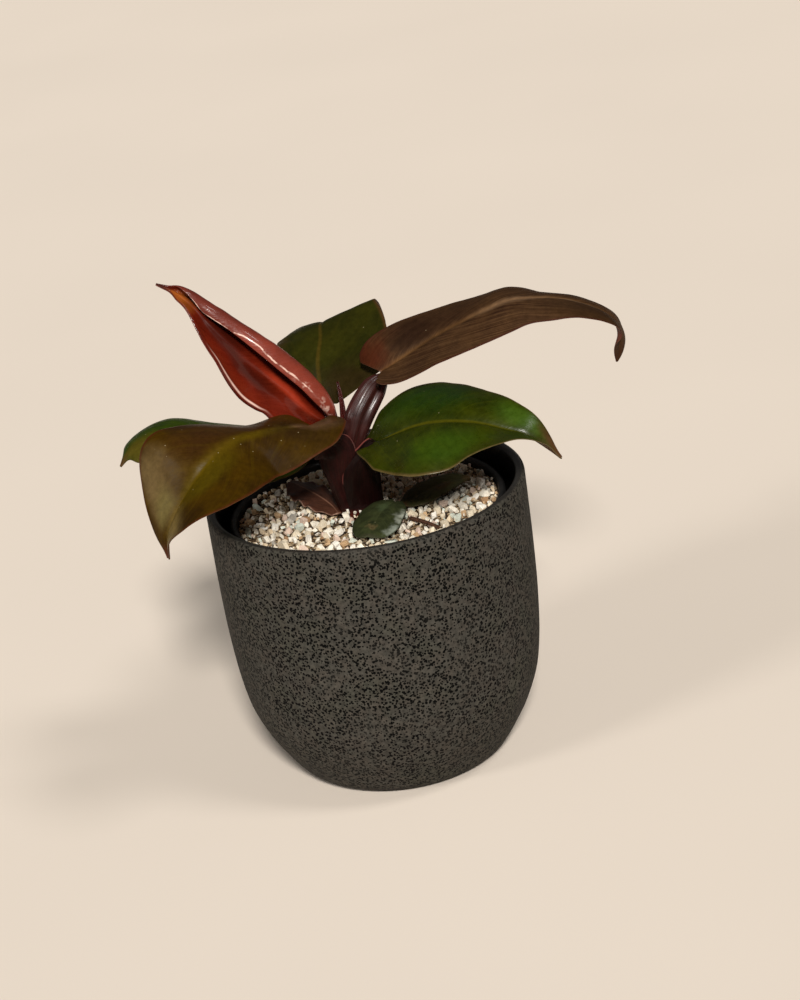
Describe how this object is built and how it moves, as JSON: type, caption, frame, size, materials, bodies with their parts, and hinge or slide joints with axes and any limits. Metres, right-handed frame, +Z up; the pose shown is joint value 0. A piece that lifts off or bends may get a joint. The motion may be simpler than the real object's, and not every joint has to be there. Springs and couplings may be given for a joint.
{
  "type": "potted red philodendron",
  "caption": "Young red-leaved philodendron in a nursery pot with a stone-grit top dressing, standing in a round bellied speckled stoneware planter.",
  "frame": {"origin": "centre of the planter's flat foot, on the surface that it stands on", "axes": "+Z up; the long leaf reaches along +X and the two front leaves hang over the -Y side"},
  "size_m": [0.2172, 0.166, 0.2248],
  "materials": {
    "stoneware": "matte",
    "nursery_plastic": "satin",
    "potting_mix": "matte",
    "stone_grit": "matte",
    "wine_stalk": "gloss",
    "bronze_leaf": "satin",
    "green_leaf": "gloss",
    "olive_leaf": "satin",
    "red_leaf": "gloss",
    "small_green_leaf": "satin",
    "dry_leaf": "matte",
    "bark": "matte"
  },
  "bodies": {
    "root": {"planter": "stoneware", "nursery_pot": "nursery_plastic", "potting_mix": "potting_mix", "grit": "stone_grit", "crown": "wine_stalk", "leaf_long_right": "bronze_leaf", "leaf_front_right": "green_leaf", "leaf_front_left": "olive_leaf", "leaf_back_left": "green_leaf", "leaf_back": "green_leaf", "leaf_new_red": "red_leaf", "small_leaf_front": "small_green_leaf", "small_leaf_right": "dry_leaf", "dry_bract": "dry_leaf", "twig": "bark"}
  },
  "joints": []
}
